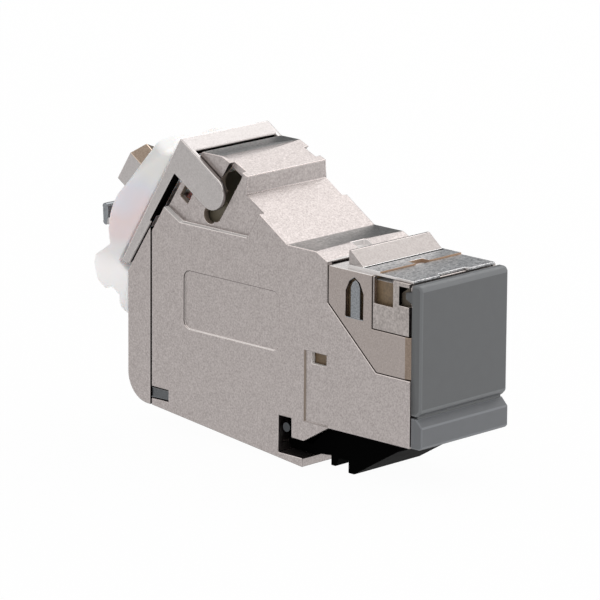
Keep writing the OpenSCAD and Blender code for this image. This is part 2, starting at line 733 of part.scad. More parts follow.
module contact_carrier() {
  color("#2b2c2e") difference() {
    slab(-carrier_hw, carrier_hw, carrier_outline);
    block(-port_w / 2, port_w / 2, -1, port_depth, port_z, port_top);
    // keyway for the plug's locking lever
    block(-key_hw, key_hw, -1, port_depth, port_z - key_depth, port_z + 1);
    block(-lever_hw, lever_hw, -1, port_depth, port_z - lever_depth, port_z);
    for (i = [1:8]) block(contact_x(i) - groove_w / 2, contact_x(i) + groove_w / 2,
      contact_y0, contact_y1, port_top - 1, port_top + groove_h);
  }
}

function contact_x(i) = (i - 4.5) * contact_pitch;
// A spring wire: along the groove in the port roof, round the front bend and back into the port
wire_top = port_top + groove_h;
wire_drop = 2.6;
module plug_contact(i) {
  color("#d8b45a") translate([contact_x(i) - contact_w / 2, 0, 0])
    slab(0, contact_w, [
      [contact_y1, wire_top], [contact_y0 + 0.1, wire_top], [contact_y0 + 0.1, wire_top - 0.6],
      [contact_y1 - 3, port_top - wire_drop], [contact_y1 - 2.6, port_top - wire_drop + 0.3],
      [contact_y0 + 1, wire_top - contact_t], [contact_y1, wire_top - contact_t]]);
}

// Circuit board and terminal block
board_hw = chamber_hw - wall - 0.2;
module circuit_board() {
  color("#2f6b45") tilted_box(-board_hw, board_hw, board_n, board_n + board_t, -0.3, bail_end - 0.5);
}

block_n0 = board_n + board_t;
block_n1 = 3;
block_u0 = 0.6;
block_u1 = bail_end - 2.5;
rows = [block_u0 + 3, block_u1 - 3.4];
block_hw = board_hw - 0.15;
column_inset = 1.25;
pair_gap = 1.5;
columns = [column_inset - block_hw, -pair_gap, pair_gap, block_hw - column_inset];
lead_in = 0.5;
lead_depth = 2.4;
lead_hw = 2;
fork_w = 2.2;
fork_t = 0.4;
fork_sunk = 0.4;
slit_n0 = 0.4;
slit_w = 0.24;
funnel_n0 = 1.6;
funnel_hw = 0.9;
module terminal_block() {
  color("#d9d7d2") difference() {
    tilted_box(-block_hw, block_hw, block_n0, block_n1, block_u0, block_u1);
    for (u = rows) for (x = columns) {
      tilted_box(x - fork_t / 2, x + fork_t / 2, block_n0 - 1, block_n1 + 1, u - fork_w / 2, u + fork_w / 2);
      tilted_box(x - lead_in, x + lead_in, block_n1 - lead_depth, block_n1 + 1, u - lead_hw, u + lead_hw);
    }
  }
}

// A fork that cuts through the insulation of one wire
module terminal(i) {
  x = columns[(i - 1) % 4];
  u = rows[floor((i - 1) / 4)];
  color("#c9cbd0") difference() {
    tilted_box(x - fork_t / 2, x + fork_t / 2, block_n0, block_n1 - fork_sunk,
      u - fork_w / 2, u + fork_w / 2);
    tilted_box(x - 1, x + 1, slit_n0, block_n1, u - slit_w / 2, u + slit_w / 2);
    slab(x - 1, x + 1,
      [tilted(funnel_n0, u), tilted(block_n1, u - funnel_hw), tilted(block_n1, u + funnel_hw)]);
  }
}

// Shielding cross between the wire pairs, its arms tapering to their tips
row_mid = (rows[0] + rows[1]) / 2;
separator_h = 1.8;
cross_reach = block_hw - sheet;
cross_u0 = block_u0 + sheet;
cross_u1 = block_u1 - sheet;
cross_hub = 0.7 * sheet;
cross_tip = 0.4 * sheet;
module pair_separator() {
  color("#b9b3b0") bail_plan(block_n1, block_n1 + separator_h)
    polygon([
      [cross_reach, row_mid - cross_tip], [cross_hub, row_mid - cross_hub],
      [cross_tip, cross_u0], [-cross_tip, cross_u0],
      [-cross_hub, row_mid - cross_hub], [-cross_reach, row_mid - cross_tip],
      [-cross_reach, row_mid + cross_tip], [-cross_hub, row_mid + cross_hub],
      [-cross_tip, cross_u1], [cross_tip, cross_u1],
      [cross_hub, row_mid + cross_hub], [cross_reach, row_mid + cross_tip]]);
}

main_housing();
front_shell();
shield_frame();
panel_spring();
rear_cover();
bail();
wire_cap();
cable_clamp();
cover_base();
cover_flap();
panel_latch();
latch_pin();
contact_carrier();
circuit_board();
terminal_block();
pair_separator();
for (i = [1:8]) plug_contact(i);
for (i = [1:8]) terminal(i);
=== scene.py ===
# %% [markdown]
# # A shielded ethernet socket module
# The object is a metal-clad data socket that snaps into a wall plate or patch panel.
# A plug goes in at the front, behind a folding grey dust cover, and the cable comes in
# at the back through a milky cap that hangs on a hinged metal bail.
# The solids come from the imported model. This lesson turns them into a finished picture:
# edges get the small radius of a real casting, plastics get their soft moulded corners,
# and every surface gets a finish that is computed, not drawn; some finishes carry painted
# light and painted shade.

# %% Load the imported solids
import json
import math

import bmesh
import bpy
from mathutils import Matrix, Vector

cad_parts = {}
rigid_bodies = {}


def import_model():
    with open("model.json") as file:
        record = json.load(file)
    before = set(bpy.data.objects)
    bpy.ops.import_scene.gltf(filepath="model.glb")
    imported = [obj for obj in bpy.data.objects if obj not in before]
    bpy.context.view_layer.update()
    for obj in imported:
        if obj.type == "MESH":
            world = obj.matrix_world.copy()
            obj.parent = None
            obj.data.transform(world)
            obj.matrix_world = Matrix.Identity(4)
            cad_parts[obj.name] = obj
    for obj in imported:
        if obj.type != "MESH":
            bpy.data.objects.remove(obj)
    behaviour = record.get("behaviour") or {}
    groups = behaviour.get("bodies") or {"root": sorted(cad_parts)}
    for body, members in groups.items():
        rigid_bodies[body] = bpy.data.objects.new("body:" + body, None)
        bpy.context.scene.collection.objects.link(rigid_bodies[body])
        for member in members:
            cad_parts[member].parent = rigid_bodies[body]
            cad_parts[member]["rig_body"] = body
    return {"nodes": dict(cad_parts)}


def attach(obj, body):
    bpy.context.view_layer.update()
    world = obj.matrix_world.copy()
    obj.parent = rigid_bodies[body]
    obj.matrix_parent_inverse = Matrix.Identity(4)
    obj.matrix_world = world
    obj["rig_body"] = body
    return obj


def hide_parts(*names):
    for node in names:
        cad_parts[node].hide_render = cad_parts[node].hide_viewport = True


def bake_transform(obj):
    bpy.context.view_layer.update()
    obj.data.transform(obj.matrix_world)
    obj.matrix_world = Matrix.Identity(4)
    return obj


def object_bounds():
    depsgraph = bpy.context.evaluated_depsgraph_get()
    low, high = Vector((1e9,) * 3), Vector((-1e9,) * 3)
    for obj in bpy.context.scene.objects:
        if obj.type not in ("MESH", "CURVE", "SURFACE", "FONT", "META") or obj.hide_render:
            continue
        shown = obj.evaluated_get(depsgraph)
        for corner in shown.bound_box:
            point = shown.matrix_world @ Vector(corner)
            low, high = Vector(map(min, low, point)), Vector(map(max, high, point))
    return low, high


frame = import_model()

MM = 0.001
scene = bpy.context.scene
solids = frame["nodes"]
solid_box = [[float(v) for v in corner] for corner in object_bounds()]


def in_mm(box):
    return [[round(v / MM, 2) for v in corner] for corner in box]


print("solids:", len(solids), "box in mm:", in_mm(solid_box))

# %% [markdown]
# ## The camera
# The photograph was taken with a long lens from the front left, a little above the object.
# The lens and the place were found by fitting corners of the solids to the photograph,
# so the camera is written down as three angles, one distance in pixels and one position.
# A lens of the same angle from the same place gives the same outline, with no shift.

# %% Place the camera
PICTURE_PIXELS = 600
LENS_PIXELS = 5152
SENSOR_MM = 36.0
AZIMUTH = math.radians(-46.11)
ELEVATION = math.radians(14.08)
ROLL = math.radians(0.44)
CAMERA_PLACE = Vector((-414.82, -374.98, 155.98)) * MM
NEAREST_SEEN = 10 * MM


def camera_turn():
    backward = Vector((math.sin(AZIMUTH) * math.cos(ELEVATION),
                       -math.cos(AZIMUTH) * math.cos(ELEVATION), math.sin(ELEVATION)))
    level = Vector((math.cos(AZIMUTH), math.sin(AZIMUTH), 0))
    upward = backward.cross(level)
    across = math.cos(ROLL) * level + math.sin(ROLL) * upward
    above = math.cos(ROLL) * upward - math.sin(ROLL) * level
    return Matrix((across, above, backward)).transposed()


lens = bpy.data.cameras.new("photo_camera")
lens.sensor_width = SENSOR_MM
lens.lens = SENSOR_MM * LENS_PIXELS / PICTURE_PIXELS
lens.clip_start = NEAREST_SEEN
camera = bpy.data.objects.new("photo_camera", lens)
scene.collection.objects.link(camera)
camera.matrix_world = Matrix.Translation(CAMERA_PLACE) @ camera_turn().to_4x4()
scene.camera = camera
scene.view_settings.view_transform = "Standard"
print("lens in mm:", round(lens.lens, 2))

# %% [markdown]
# ## A small kit for node trees
# Materials, the sky and the wire maker are all node trees. Writing every link by hand is
# long, so one helper adds a node, sets its values and plugs in what feeds it.
# An input goes by its label, with `_` for a space, or by `i` and its number where several
# inputs share a label.

# %% Node helper
def add_node(tree, kind, settings=None, **inputs):
    node = tree.nodes.new(kind)
    for name, value in (settings or {}).items():
        setattr(node, name, value)
    for name, value in inputs.items():
        key = int(name[1:]) if name[0] == "i" and name[1:].isdigit() else name.replace("_", " ")
        socket = node.inputs[key]
        if isinstance(value, bpy.types.NodeSocket):
            tree.links.new(value, socket)
        else:
            socket.default_value = value
    return node


def mixed(tree, share, first, second):
    return add_node(tree, "ShaderNodeMix", {"data_type": "RGBA"}, Factor=share,
                    i6=first, i7=second).outputs[2]


def eased(tree, value, start, stop):
    return add_node(tree, "ShaderNodeMapRange", {"interpolation_type": "SMOOTHSTEP"},
                    Value=value, From_Min=start, From_Max=stop).outputs["Result"]


def worked_out(tree, operation, first, second):
    return add_node(tree, "ShaderNodeMath", {"operation": operation}, i0=first, i1=second).outputs[0]


print("node helpers ready")

# %% [markdown]
# ## Studio light
# Plated metal is mostly a picture of the room around it, so the room comes first.
# The sky is bright overhead, mid grey at the sides and dark low behind the object.
# That dark strip is what the level faces mirror, and it gives them their slate tone,
# while the slopes mirror the bright upper sky. The camera itself sees plain white.

# %% Sky
WHITE = (1, 1, 1, 1)
SKY_TOP = (0.92, 0.91, 0.90, 1)
SKY_SIDE = (0.34, 0.325, 0.32, 1)
SKY_DARK = (0.035, 0.042, 0.048, 1)
SKY_RISE = (0.05, 0.75)
DARK_WAY = Vector((0.70, 0.69, 0.16)).normalized()
DARK_BORDER = (0.77, 0.93)


def sky_world():
    world = bpy.data.worlds.new("studio_sky")
    world.use_nodes = True
    tree = world.node_tree
    tree.nodes.clear()
    place = add_node(tree, "ShaderNodeTexCoord").outputs["Generated"]
    height = add_node(tree, "ShaderNodeSeparateXYZ", i0=place).outputs["Z"]
    sky = mixed(tree, eased(tree, height, *SKY_RISE), SKY_SIDE, SKY_TOP)
    behind = add_node(tree, "ShaderNodeVectorMath", {"operation": "DOT_PRODUCT"},
                      i0=place, i1=tuple(DARK_WAY)).outputs["Value"]
    room = mixed(tree, eased(tree, behind, *DARK_BORDER), sky, SKY_DARK)
    seen = add_node(tree, "ShaderNodeLightPath").outputs["Is Camera Ray"]
    light = add_node(tree, "ShaderNodeBackground", Color=mixed(tree, seen, room, WHITE), Strength=1.0)
    add_node(tree, "ShaderNodeOutputWorld", Surface=light.outputs[0])
    return world


scene.world = sky_world()
print("sky:", scene.world.name)

# %% [markdown]
# ## Lamps
# Three soft boxes stand in for the photographer's: a large one high on the right, which the
# slopes of the roof catch, a lower one at the front right for the upright steps, and a weak
# one at the front left that keeps the side and the cover from going flat.

# %% Soft boxes
TARGET = Vector((0, 22, 10)) * MM


def soft_box(name, direction, distance, side, radiance, tint=(1, 1, 1)):
    lamp = bpy.data.lights.new(name, "AREA")
    lamp.shape = "SQUARE"
    lamp.size = side
    lamp.energy = radiance * math.pi * side * side
    lamp.color = tint
    thing = bpy.data.objects.new(name, lamp)
    scene.collection.objects.link(thing)
    thing.location = TARGET + Vector(direction).normalized() * distance
    thing.rotation_euler = (TARGET - thing.location).to_track_quat("-Z", "Y").to_euler()
    return thing


lamps = [
    soft_box("roof_box", (0.70, 0.20, 0.68), distance=0.7, side=0.54, radiance=1.37,
             tint=(0.985, 0.985, 0.985)),
    soft_box("front_box", (0.75, -0.66, 0.10), distance=0.7, side=0.50, radiance=1.78),
    soft_box("side_box", (-0.75, -0.55, 0.42), distance=0.8, side=0.40, radiance=0.55),
]
print("lamps:", [(lamp.name, round(lamp.data.energy, 3)) for lamp in lamps])

# %% [markdown]
# ## Floor
# The socket lies on a white table. The table's white is partly its own colour and partly a
# plain white that only cameras and mirrors see, so the background stays clean and the soft
# shadow under the object is kept.

# %% White table
TABLE_CHALK = (0.86, 0.86, 0.86, 1)
TABLE_GLOW_SHARE = 0.97
TABLE_HALF = 3.0


def table_finish():
    finish = bpy.data.materials.new("white_table")
    finish.use_nodes = True
    tree = finish.node_tree
    tree.nodes.clear()
    rays = add_node(tree, "ShaderNodeLightPath").outputs
    mirror = worked_out(tree, "MAXIMUM", rays["Is Glossy Ray"], rays["Is Transmission Ray"])
    seen = worked_out(tree, "MAXIMUM", rays["Is Camera Ray"], mirror)
    share = worked_out(tree, "MULTIPLY", seen, TABLE_GLOW_SHARE)
    chalk = add_node(tree, "ShaderNodeBsdfDiffuse", Color=TABLE_CHALK).outputs[0]
    glow = add_node(tree, "ShaderNodeEmission", Color=WHITE, Strength=1.0).outputs[0]
    both = add_node(tree, "ShaderNodeMixShader", i0=share, i1=chalk, i2=glow).outputs[0]
    add_node(tree, "ShaderNodeOutputMaterial", Surface=both)
    return finish


def table_top(half):
    mesh = bpy.data.meshes.new("table_top")
    z = solid_box[0][2]
    mesh.from_pydata([(-half, -half, z), (half, -half, z), (half, half, z), (-half, half, z)],
                     [], [(0, 1, 2, 3)])
    mesh.materials.append(table_finish())
    thing = bpy.data.objects.new("table_top", mesh)
    scene.collection.objects.link(thing)
    return thing


table = table_top(TABLE_HALF)
print("table at z in mm:", round(solid_box[0][2] / MM, 2))

# %% [markdown]
# ## Finishes
# Every finish starts from the same sheet: a Principled shader with a pattern read from the
# object's own coordinates, in metres, so a grain of a fifth of a millimetre has a scale of
# five thousand. Rounded edges carry two numbers: one marks them, and one says how far they
# look up and back. The metals get painted light on these edges, a painted highlight on the
# upper ones and painted shade on the lower ones, which draws every outline as in the photograph.

# %% Shared finish parts
def new_finish(name):
    finish = bpy.data.materials.new(name)
    finish.use_nodes = True
    tree = finish.node_tree
    shader = tree.nodes["Principled BSDF"]
    place = add_node(tree, "ShaderNodeTexCoord").outputs["Object"]
    return finish, tree, shader, place


def grain(tree, place, size_mm, low=0.0, high=1.0, detail=2.0, start=0.3, stop=0.7):
    speck = add_node(tree, "ShaderNodeTexNoise", Vector=place, Scale=1 / (size_mm * MM), Detail=detail)
    return add_node(tree, "ShaderNodeMapRange", Value=speck.outputs["Fac"], From_Min=start,
                    From_Max=stop, To_Min=low, To_Max=high).outputs["Result"]


def grain_and_clouds(tree, speck, share, clouds):
    return add_node(tree, "ShaderNodeMath", {"operation": "MULTIPLY_ADD", "use_clamp": True},
                    i0=speck, i1=share, i2=clouds).outputs[0]


def edge_mark(tree, mark):
    return add_node(tree, "ShaderNodeAttribute", {"attribute_name": mark}).outputs["Fac"]


def scaled(colour, factor):
    return tuple(min(1.0, c * factor) for c in colour) + (1,)


def bumped(tree, shader, height, depth_mm, strength):
    bump = add_node(tree, "ShaderNodeBump", Height=height, Strength=strength, Distance=depth_mm * MM)
    tree.links.new(bump.outputs["Normal"], shader.inputs["Normal"])


print("finish parts ready")

# %% [markdown]
# ### Plated metals
# The body is a zinc casting under satin nickel: a warm grey with a fine sandy grain.
# The sprung sheet on top is tinned, and its reflections break into small bright and dark
# patches. All are one recipe: a grain between a shadow and a full colour, a share of wider
# clouds, and a shallow bump of the same pattern, so light and relief agree.

# %% Plated metal recipe
CLOUD_PER_GRAIN = 5
# Edge strips get painted light: a painted highlight where they face up and back, painted shade where they
# face down or forward.
EDGE_PAINTED_SHADE = 0.55
EDGE_PAINTED_HIGHLIGHT = 1.8
EDGE_SHARE = 0.85
METAL_HAZE = 0.06


def plated(name, colour, shadow, grain_mm=0.20, rough=0.33, depth_mm=0.01, strength=0.35,
           cloud=0.12, spread=0.2, rub_rough=0.26):
    finish, tree, shader, place = new_finish(name)
    speck = grain(tree, place, grain_mm, detail=4.0, start=0.5 - spread, stop=0.5 + spread)
    clouds = grain(tree, place, CLOUD_PER_GRAIN * grain_mm, 0.0, cloud, detail=3.0)
    both = grain_and_clouds(tree, speck, 1 - cloud, clouds)
    tone = mixed(tree, both, shadow + (1,), colour + (1,))
    # The edge colour is painted light, mixed in on the edge strips.
    edge_strip = edge_mark(tree, "edge_strip")
    edge = mixed(tree, edge_mark(tree, "painted_light"), scaled(shadow, EDGE_PAINTED_SHADE), scaled(colour, EDGE_PAINTED_HIGHLIGHT))
    share = worked_out(tree, "MULTIPLY", edge_strip, EDGE_SHARE)
    tree.links.new(mixed(tree, share, tone, edge), shader.inputs["Base Color"])
    haze = add_node(tree, "ShaderNodeMapRange", Value=both, To_Min=rough + METAL_HAZE,
                    To_Max=rough - METAL_HAZE)
    gloss = add_node(tree, "ShaderNodeMix", {"data_type": "FLOAT"}, i0=edge_strip,
                     i2=haze.outputs["Result"], i3=rub_rough).outputs[0]
    tree.links.new(gloss, shader.inputs["Roughness"])
    shader.inputs["Metallic"].default_value = 1.0
    bumped(tree, shader, both, depth_mm, strength)
    return finish


print("plated metal recipe ready")

# %% Nickel finishes
cast_nickel = plated("cast_nickel", (0.520, 0.474, 0.460), (0.338, 0.303, 0.293),
                     depth_mm=0.02, strength=0.6)
shell_nickel = plated("shell_nickel", (0.410, 0.362, 0.340), (0.325, 0.283, 0.264), rough=0.31)
wedge_nickel = plated("wedge_nickel", (0.428, 0.395, 0.383), (0.334, 0.304, 0.292), rough=0.34)
bail_nickel = plated("bail_nickel", (0.515, 0.487, 0.478), (0.42, 0.395, 0.387),
                     grain_mm=0.18, rough=0.36, depth_mm=0.015)
frame_nickel = plated("frame_nickel", (0.500, 0.455, 0.433), (0.290, 0.262, 0.249),
                      grain_mm=0.26, rough=0.32, depth_mm=0.03, strength=0.6)
sheet_nickel = plated("sheet_nickel", (0.86, 0.86, 0.865), (0.262, 0.27, 0.281),
                      grain_mm=0.34, rough=0.36, depth_mm=0.03, strength=0.8, cloud=0.3, spread=0.12)
# The next finish paints a dark reflection on the level deck and crown.
painted_reflection_nickel = plated("painted_reflection_nickel", (0.49, 0.482, 0.475), (0.25, 0.245, 0.24),
                      grain_mm=0.30, depth_mm=0.02, strength=0.6, cloud=0.3, spread=0.14)
print("nickel:", cast_nickel.name, shell_nickel.name, bail_nickel.name, sheet_nickel.name)

# %% Other metals
# The brown clamp finish here and the dark and the warm steel below are painted shade, for faces that lie
# in shade.
clamp_painted_shade = plated("clamp_painted_shade", (0.42, 0.335, 0.27), (0.26, 0.20, 0.155),
                      grain_mm=0.18, rough=0.36, depth_mm=0.015)
blue_steel = plated("blue_steel", (0.30, 0.313, 0.33), (0.18, 0.19, 0.20), rough=0.3, strength=0.3)
dark_painted_shade = plated("dark_painted_shade", (0.145, 0.152, 0.158), (0.10, 0.105, 0.11), rough=0.4, strength=0.3)
warm_painted_shade = plated("warm_painted_shade", (0.31, 0.245, 0.20), (0.22, 0.17, 0.135), rough=0.36, strength=0.3)
pin_steel = plated("pin_steel", (0.075, 0.08, 0.085), (0.05, 0.053, 0.056),
                   grain_mm=0.12, rough=0.3, depth_mm=0.005, strength=0.1, rub_rough=0.3)
fork_tin = plated("fork_tin", (0.78, 0.78, 0.79), (0.62, 0.62, 0.63),
                  grain_mm=0.10, rough=0.30, depth_mm=0.006, strength=0.12)
contact_gold = plated("contact_gold", (0.85, 0.62, 0.24), (0.72, 0.50, 0.17),
                      grain_mm=0.10, rough=0.22, depth_mm=0.004, strength=0.1)
print("other metals:", clamp_painted_shade.name, pin_steel.name, fork_tin.name, contact_gold.name)

# %% [markdown]
# ### Moulded plastics
# Mould surfaces are spark-eroded, which leaves an even fine texture, and thick areas sink
# and cool to a slightly different tone. The recipe has both, and the colour and gloss of
# each plastic go in as values, with rounded edges drawn lighter. The brown and black painted
# shade, the pale painted light and the brown of the sheet's step are matt too, so the same
# recipe makes them.

# %% Moulded plastics
SINK_PER_GRAIN = 14
SINK_SHARE = 0.5
MOULD_HAZE = 0.05
MOULD_DEPTH_MM = 0.01
MOULD_RELIEF = 0.2


def moulded_finish(name, colour, spread=0.1, grain_mm=0.15, rough=0.5, edge_lift=0.25, shine=0.5):
    finish, tree, shader, place = new_finish(name)
    speck = grain(tree, place, grain_mm)
    sinks = grain(tree, place, grain_mm * SINK_PER_GRAIN, 0.0, SINK_SHARE, detail=1.0)
    both = grain_and_clouds(tree, speck, 1 - SINK_SHARE, sinks)
    tone = mixed(tree, both, scaled(colour, 1 - spread), scaled(colour, 1 + spread))
    # Rounded edges are drawn lighter than the face.
    lighter_edge = scaled(colour, 1 + edge_lift)
    tree.links.new(mixed(tree, edge_mark(tree, "edge_strip"), tone, lighter_edge), shader.inputs["Base Color"])
    haze = add_node(tree, "ShaderNodeMapRange", Value=both, To_Min=rough - MOULD_HAZE,
                    To_Max=rough + MOULD_HAZE)
    tree.links.new(haze.outputs["Result"], shader.inputs["Roughness"])
    shader.inputs["Specular IOR Level"].default_value = shine
    bumped(tree, shader, speck, MOULD_DEPTH_MM, MOULD_RELIEF)
    return finish


grey_plastic = moulded_finish("grey_plastic", (0.117, 0.123, 0.128), 0.06, 0.12, edge_lift=0.5)
# The foot is the same grey, painted a little lighter as painted light.
foot_grey_painted_light = moulded_finish("foot_grey_painted_light", (0.150, 0.158, 0.169), 0.06, 0.12, edge_lift=0.4)
black_plastic = moulded_finish("black_plastic", (0.0004, 0.0004, 0.0004), 0.3, 0.12, rough=0.6,
                               edge_lift=1.0, shine=0.01)
carrier_plastic = moulded_finish("carrier_plastic", (0.16, 0.135, 0.105))
block_plastic = moulded_finish("block_plastic", (0.19, 0.165, 0.115))
board_green = moulded_finish("board_green", (0.02, 0.13, 0.05), 0.25, 0.25, rough=0.3)
# The brown behind the windows, partly the plastic's own and partly painted shade.
pocket_brown_and_shade = moulded_finish("pocket_brown_and_shade", (0.235, 0.165, 0.098), 0.35, 0.3)
# Brown painted shade, for slot walls and edges that lie in shade.
brown_painted_shade = moulded_finish("brown_painted_shade", (0.24, 0.195, 0.16), 0.2)
# Pale painted light, for ledges, sills, rims and tops that look bright.
pale_painted_light = moulded_finish("pale_painted_light", (0.80, 0.775, 0.765), 0.08, rough=0.45)
# A plain brown for the sheet's step and slot.
step_brown = moulded_finish("step_brown", (0.40, 0.26, 0.17), 0.25, 0.2, rough=0.6)
# Black painted shade, for gaps, pockets and creases that hardly any light comes out of.
black_painted_shade = moulded_finish("black_painted_shade", (0.002, 0.0017, 0.0016), 0.3, rough=0.7, edge_lift=0.0, shine=0.02)
print("plastics:", grey_plastic.name, black_plastic.name, carrier_plastic.name)

# %% [markdown]
# ### Milky cap
# The cap is a translucent plastic. Light that enters it comes out softened, and the wires
# and metal behind it tint it faintly: bluish high up, a touch of rose in the middle.
# Subsurface scattering gives the softness, and a gradient down the cap gives the tints.
# The thin tab at the bottom and the rim at the top let the white room shine through, which
# a little light of their own stands for.

# %% Milky plastic
CAP_LOW = 4
CAP_HIGH = 28
DRIFT_SCALE = 160.0
DRIFT_SHARE = 0.25
CAP_TINTS = ((0.10, (0.94, 0.935, 0.95, 1)), (0.54, (0.99, 0.965, 0.975, 1)),
             (0.64, (0.985, 0.815, 0.825, 1)), (0.77, (0.985, 0.80, 0.81, 1)),
             (0.89, (0.87, 0.87, 0.95, 1)), (1.0, (0.95, 0.93, 0.905, 1)))
CAP_GLOW = ((0.10, 0.0), (0.31, 0.14), (0.36, 0.14), (0.43, 0.0), (0.97, 0.0), (1.0, 0.3))


def colour_ramp(tree, value, stops):
    ramp = add_node(tree, "ShaderNodeValToRGB", i0=value)
    marks = ramp.color_ramp.elements
    marks[0].position, marks[0].color = stops[0]
    marks[1].position, marks[1].color = stops[-1]
    for at, colour in stops[1:-1]:
        marks.new(at).color = colour
    return ramp.outputs["Color"]


def milky_finish():
    finish, tree, shader, place = new_finish("milky_plastic")
    height = add_node(tree, "ShaderNodeSeparateXYZ", i0=place).outputs["Z"]
    span = add_node(tree, "ShaderNodeMapRange", Value=height, From_Min=CAP_LOW * MM,
                    From_Max=CAP_HIGH * MM).outputs["Result"]
    drift = add_node(tree, "ShaderNodeTexNoise", Vector=place, Scale=DRIFT_SCALE, Detail=1.0)
    where = add_node(tree, "ShaderNodeMath", {"operation": "MULTIPLY_ADD"}, i0=drift.outputs["Fac"],
                     i1=DRIFT_SHARE, i2=span).outputs[0]
    tree.links.new(colour_ramp(tree, where, CAP_TINTS), shader.inputs["Base Color"])
    glow = [(at, (level, level, level, 1)) for at, level in CAP_GLOW]
    tree.links.new(colour_ramp(tree, span, glow), shader.inputs["Emission Strength"])
    shader.inputs["Emission Color"].default_value = (1, 0.99, 1, 1)
    shader.inputs["Subsurface Weight"].default_value = 0.6
    shader.inputs["Subsurface Radius"].default_value = (1.0, 0.8, 0.7)
    shader.inputs["Subsurface Scale"].default_value = 1.2 * MM
    speck = grain(tree, place, 0.25)
    haze = add_node(tree, "ShaderNodeMapRange", Value=speck, To_Min=0.3, To_Max=0.38)
    tree.links.new(haze.outputs["Result"], shader.inputs["Roughness"])
    bumped(tree, shader, speck, depth_mm=0.004, strength=0.1)
    return finish


milky_plastic = milky_finish()
print("milky plastic:", milky_plastic.name)

# %% [markdown]
# ## Rounded copies of the solids
# A imported solid has knife edges. A real casting or moulding has a small radius, and that
# radius is what catches the light. The helper copies a solid, merges its loose triangles,
# bevels every sharp edge and marks the new strips, which the metal finishes give painted edge
# light. Where two edges are so close that their bevels would cross, a face turns over. The
# helper finds such faces, leaves the edges there sharp and bevels again, a few times at most.
# Level faces are shaded flat next to a fine edge, and weighted normals keep them level next to
# a wide one.

# %% Pieces and copies
MERGE = 0.002 * MM


def finish_piece(name, mesh, finish, node_names, flat_normals=True):
    mesh.materials.clear()
    mesh.materials.append(finish)
    piece = bpy.data.objects.new(name, mesh)
    scene.collection.objects.link(piece)
    if flat_normals:
        even = piece.modifiers.new("even_normals", "WEIGHTED_NORMAL")
        even.keep_sharp = True
    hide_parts(*node_names)
    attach(piece, solids[node_names[0]]["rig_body"])
    return piece


def merged_copy(node):
    shape = bmesh.new()
    shape.from_mesh(solids[node].data)
    bmesh.ops.remove_doubles(shape, verts=shape.verts, dist=MERGE)
    return shape


print("piece helpers ready")

# %% Bevel
SHARP_EDGE = math.radians(28)
GENTLE_BEND = (0.01, 0.6)
FINE_EDGE_MM = 0.1
EDGE_LIGHT = Vector((-0.3, 0.2, 0.93))
LIT_LEVEL = 0.2
LIT_GAIN = 1.25
TURNED_OVER = 0.95
SLIVER_AREA = 1e-4 * MM * MM


def bends_gently(face, edge_strip):
    for edge in face.edges:
        beside = [other for other in edge.link_faces if other is not face]
        if not beside or beside[0][edge_strip]:
            continue
        if GENTLE_BEND[0] < face.normal.angle(beside[0].normal, 0) < GENTLE_BEND[1]:
            return True
    return False


def bevel_once(node, radius_mm, steps, tight):
    radius = radius_mm * MM
    too_near = 2 * radius
    too_short = 1.5 * radius
    shape = merged_copy(node)
    shape.normal_update()
    edge_strip = shape.faces.layers.float.new("edge_strip")
    painted_light = shape.faces.layers.float.new("painted_light")
    before = shape.faces.layers.float_vector.new("before")
    for face in shape.faces:
        face[before] = face.normal

    def is_tight(edge):
        return any(all(min((v.co - spot).length for spot in spots) < too_near for v in edge.verts)
                   for spots in tight)

    sharp = [edge for edge in shape.edges if edge.calc_face_angle() > SHARP_EDGE
             and edge.calc_length() > too_short and not is_tight(edge)]
    strips = bmesh.ops.bevel(shape, geom=sharp, offset=radius, offset_type="OFFSET", segments=steps,
                             profile=0.5, affect="EDGES", clamp_overlap=False)["faces"]
    shape.normal_update()
    # Each strip's level of painted light follows how far it faces EDGE_LIGHT.
    for face in strips:
        face[edge_strip] = 1.0
        face[painted_light] = min(1.0, max(0.0, LIT_LEVEL + LIT_GAIN * face.normal.dot(EDGE_LIGHT)))
        face[before] = face.normal
    for face in shape.faces:
        face.smooth = radius_mm > FINE_EDGE_MM or face[edge_strip] > 0 or bends_gently(face, edge_strip)
    spoilt = [[v.co.copy() for v in face.verts] for face in shape.faces
              if face.normal.dot(face[before]) < TURNED_OVER and face.calc_area() > SLIVER_AREA]
    return shape, spoilt


print("bevel ready")

# %% Rounded pieces
RETRIES = 4
SHARP_SHADE = math.radians(40)


def rounded_mesh(node, radius_mm, steps):
    tight = []
    shape, spoilt = bevel_once(node, radius_mm, steps, tight)
    for _ in range(RETRIES):
        if not spoilt:
            break
        shape.free()
        tight += spoilt
        shape, spoilt = bevel_once(node, radius_mm, steps, tight)
    bmesh.ops.remove_doubles(shape, verts=shape.verts, dist=MERGE)
    mesh = bpy.data.meshes.new(node + "_rounded")
    shape.to_mesh(mesh)
    bent = [face.smooth for face in shape.faces]
    shape.free()
    mesh.attributes.remove(mesh.attributes["before"])
    mesh.set_sharp_from_angle(angle=SHARP_SHADE)
    mesh.polygons.foreach_set("use_smooth", bent)
    return mesh, len(tight), len(spoilt)


def rounded_piece(name, node, radius_mm, finish, steps=2):
    mesh, left_sharp, spoilt = rounded_mesh(node, radius_mm, steps)
    piece = finish_piece(name, mesh, finish, [node])
    print(name, len(mesh.polygons), "faces;", left_sharp, "tight places left sharp;", spoilt, "spoilt")
    return piece


print("rounding ready")

# %% [markdown]
# ## Patches by place
# Some faces of a piece differ from the rest, and each patch is named by a zone: ranges in
# millimetres along the three axes, and the directions that its faces look in. Both sides of
# the socket are alike, so x counts from the middle. One helper gives the faces in a zone
# another finish, and one first cuts faces along a plane where a finish needs a clean border.
# The last one sets the edge strip mark, or the level of painted edge light, on edges in a zone.

